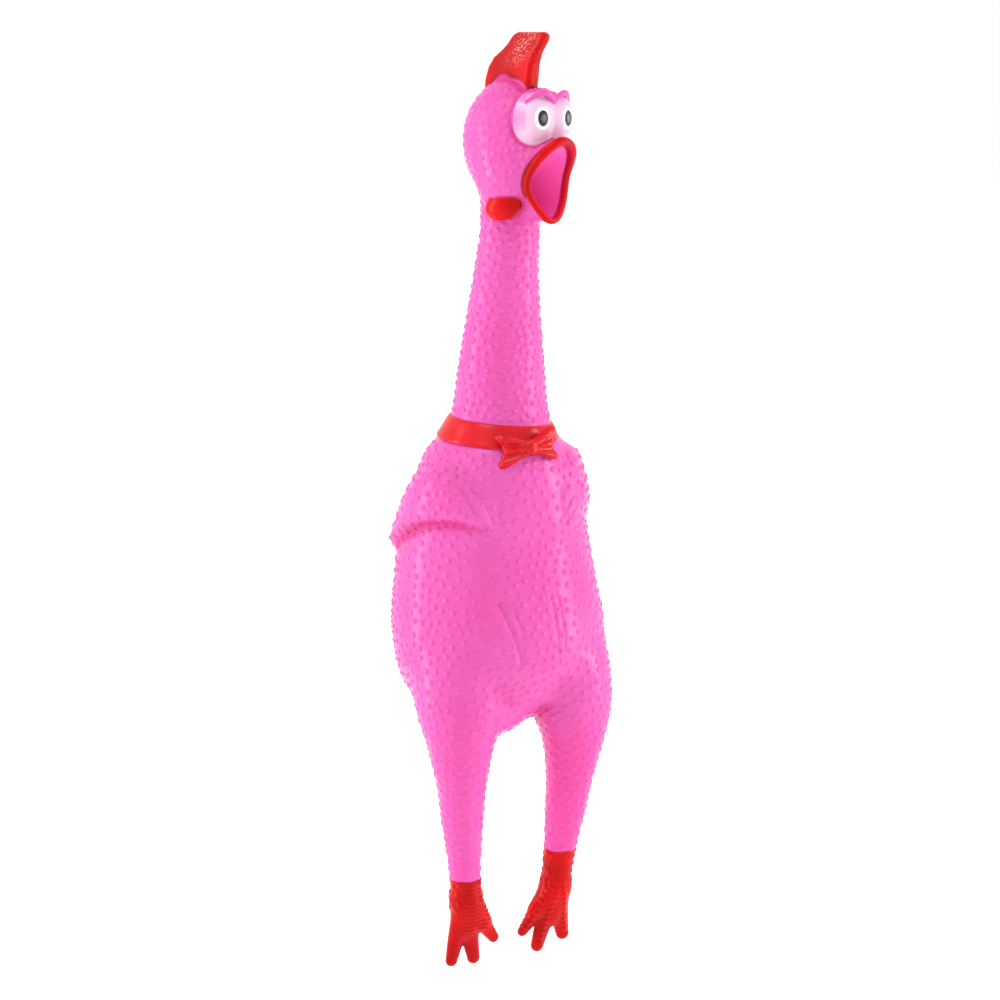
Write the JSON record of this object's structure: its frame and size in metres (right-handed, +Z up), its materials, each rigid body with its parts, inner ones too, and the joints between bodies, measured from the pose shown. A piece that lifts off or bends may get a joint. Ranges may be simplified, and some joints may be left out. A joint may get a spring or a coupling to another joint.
{
  "type": "rubber chicken",
  "caption": "Hollow soft-vinyl novelty chicken held upright, with a bendy neck and legs, an open beak, a bow tie and a squeaker that sounds when the body is squeezed.",
  "frame": {"origin": "middle of the body, where a hand holds it, on the axis of the neck's root", "axes": "+Z up the body towards the comb, -Y the way the breast faces, +X the bird's left"},
  "size_m": [0.094, 0.0894, 0.3976],
  "materials": {
    "pink_skin": "glossy hot pink soft vinyl",
    "red_paint": "glossy red vinyl",
    "mouth_pink": "satin pink soft vinyl",
    "eye_white": "glossy white paint, tinted pink",
    "pupil_black": "glossy black paint",
    "squeaker_plastic": "moulded white plastic",
    "reed_brass": "thin rolled strip"
  },
  "bodies": {
    "torso": {"torso_skin": "pink_skin", "neck_root_skin": "pink_skin", "collar": "red_paint", "bow_knot": "red_paint", "bow_loop_left": "red_paint", "bow_loop_right": "red_paint", "wing_left": "pink_skin", "wing_right": "pink_skin", "tail": "pink_skin"},
    "chest": {"chest_panel": "pink_skin"},
    "neck_lower": {"neck_lower_skin": "pink_skin"},
    "neck_middle": {"neck_middle_skin": "pink_skin"},
    "neck_top": {"neck_top_skin": "pink_skin"},
    "head": {"head_skin": "pink_skin", "mouth_funnel": "mouth_pink", "beak_rim": "red_paint", "wattle_left": "red_paint", "wattle_right": "red_paint", "eye_left": "eye_white", "eye_right": "eye_white", "pupil_left": "pupil_black", "pupil_right": "pupil_black", "comb_root": "red_paint", "squeaker_tube": "squeaker_plastic", "tone_board": "squeaker_plastic", "reed_wedge": "squeaker_plastic", "reed_tail": "reed_brass", "squeaker_cap": "squeaker_plastic"},
    "comb": {"comb": "red_paint"},
    "reed": {"reed": "reed_brass"},
    "thigh_left": {"thigh_left": "pink_skin"},
    "shank_left": {"shank_left": "pink_skin"},
    "foot_left": {"foot_left": "red_paint"},
    "thigh_right": {"thigh_right": "pink_skin"},
    "shank_right": {"shank_right": "pink_skin"},
    "foot_right": {"foot_right": "red_paint"}
  },
  "joints": [
    {"name": "chest_press", "type": "slide", "parent": "torso", "child": "chest", "axis": [0, 1, 0], "range_m": [0, 0.014], "stiffness_N_per_m": 1000},
    {"name": "neck_bend", "type": "hinge", "parent": "torso", "child": "neck_lower", "pos_m": [0, -0.0012, 0.09], "axis": [1, 0, 0], "range_deg": [-40, 40], "stiffness_Nm_per_rad": 1},
    {"name": "neck_sway", "type": "hinge", "parent": "neck_lower", "child": "neck_middle", "pos_m": [0, -0.00417, 0.118], "axis": [0, 1, 0], "range_deg": [-35, 35], "stiffness_Nm_per_rad": 0.8},
    {"name": "neck_turn", "type": "hinge", "parent": "neck_middle", "child": "neck_top", "pos_m": [0, -0.00645, 0.134], "axis": [0, 0, 1], "range_deg": [-50, 50], "stiffness_Nm_per_rad": 0.4},
    {"name": "head_nod", "type": "hinge", "parent": "neck_top", "child": "head", "pos_m": [0, -0.0097, 0.15], "axis": [0.9703, 0.2419, 0], "range_deg": [-35, 20], "stiffness_Nm_per_rad": 0.5},
    {"name": "comb_flop", "type": "hinge", "parent": "head", "child": "comb", "pos_m": [0.0003, -0.01091, 0.2152], "axis": [-0.2419, 0.9703, 0], "range_deg": [-30, 30], "stiffness_Nm_per_rad": 0.01},
    {"name": "reed_buzz", "type": "hinge", "parent": "head", "child": "reed", "pos_m": [-0.00048, -0.00776, 0.17165], "axis": [0.9703, 0.2419, 0], "range_deg": [-6, 1.5], "stiffness_Nm_per_rad": 0.0005},
    {"name": "leg_swing_left", "type": "hinge", "parent": "torso", "child": "thigh_left", "pos_m": [0.027, -0.0185, -0.058], "axis": [1, 0, 0], "range_deg": [-60, 35], "stiffness_Nm_per_rad": 0.5},
    {"name": "knee_left", "type": "hinge", "parent": "thigh_left", "child": "shank_left", "pos_m": [0.02475, -0.01539, -0.095], "axis": [0, 1, 0], "range_deg": [-30, 6], "stiffness_Nm_per_rad": 0.15},
    {"name": "ankle_left", "type": "hinge", "parent": "shank_left", "child": "foot_left", "pos_m": [0.02257, -0.01254, -0.122], "axis": [1, 0, 0], "range_deg": [-35, 35], "stiffness_Nm_per_rad": 0.05},
    {"name": "leg_swing_right", "type": "hinge", "parent": "torso", "child": "thigh_right", "pos_m": [-0.027, -0.0185, -0.058], "axis": [1, 0, 0], "range_deg": [-60, 35], "stiffness_Nm_per_rad": 0.5},
    {"name": "knee_right", "type": "hinge", "parent": "thigh_right", "child": "shank_right", "pos_m": [-0.02475, -0.01539, -0.095], "axis": [0, 1, 0], "range_deg": [-6, 30], "stiffness_Nm_per_rad": 0.15},
    {"name": "ankle_right", "type": "hinge", "parent": "shank_right", "child": "foot_right", "pos_m": [-0.02221, -0.01208, -0.127], "axis": [1, 0, 0], "range_deg": [-35, 35], "stiffness_Nm_per_rad": 0.05}
  ]
}
